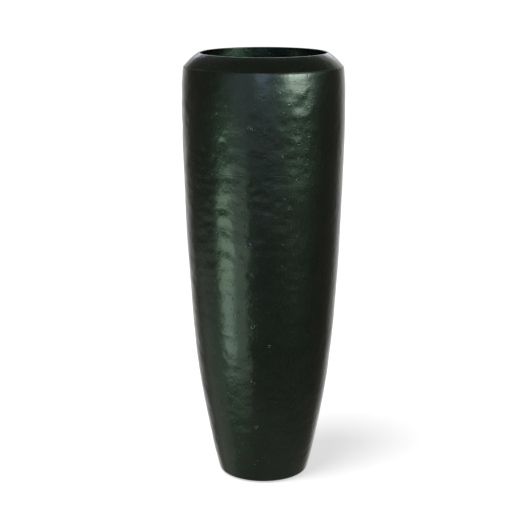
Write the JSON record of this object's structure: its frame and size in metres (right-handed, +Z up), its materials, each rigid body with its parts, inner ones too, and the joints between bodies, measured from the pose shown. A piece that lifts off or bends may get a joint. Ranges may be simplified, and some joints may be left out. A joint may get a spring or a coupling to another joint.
{
  "type": "tall planter",
  "caption": "Tall vase-shaped floor planter of hammered sheet steel, slim at the foot, with an inward shoulder, a round mouth and a lift-out plastic liner.",
  "frame": {"origin": "on the floor, under the middle of the foot, in the plane of the pads' undersides", "axes": "+Z up along the planter's axis; it is round, and the liner's two hand slots face +X and -X"},
  "size_m": [0.3634, 0.3634, 0.972],
  "materials": {
    "lacquered_steel": "gloss",
    "weld_metal": "satin",
    "pad_rubber": "matte",
    "liner_plastic": "matte"
  },
  "bodies": {
    "shell": {"base_pan": "lacquered_steel", "foot_course": "lacquered_steel", "lower_course": "lacquered_steel", "middle_course": "lacquered_steel", "upper_course": "lacquered_steel", "shoulder": "lacquered_steel", "lip_rod": "lacquered_steel", "mouth_collar": "lacquered_steel", "girth_welds": "weld_metal", "seam_welds": "weld_metal", "liner_tabs": "lacquered_steel", "foot_pads": "pad_rubber"},
    "liner": {"liner": "liner_plastic"}
  },
  "joints": [
    {"name": "liner_lift", "type": "slide", "parent": "shell", "child": "liner", "axis": [0, 0, 1], "range_m": [0, 0.6]}
  ]
}
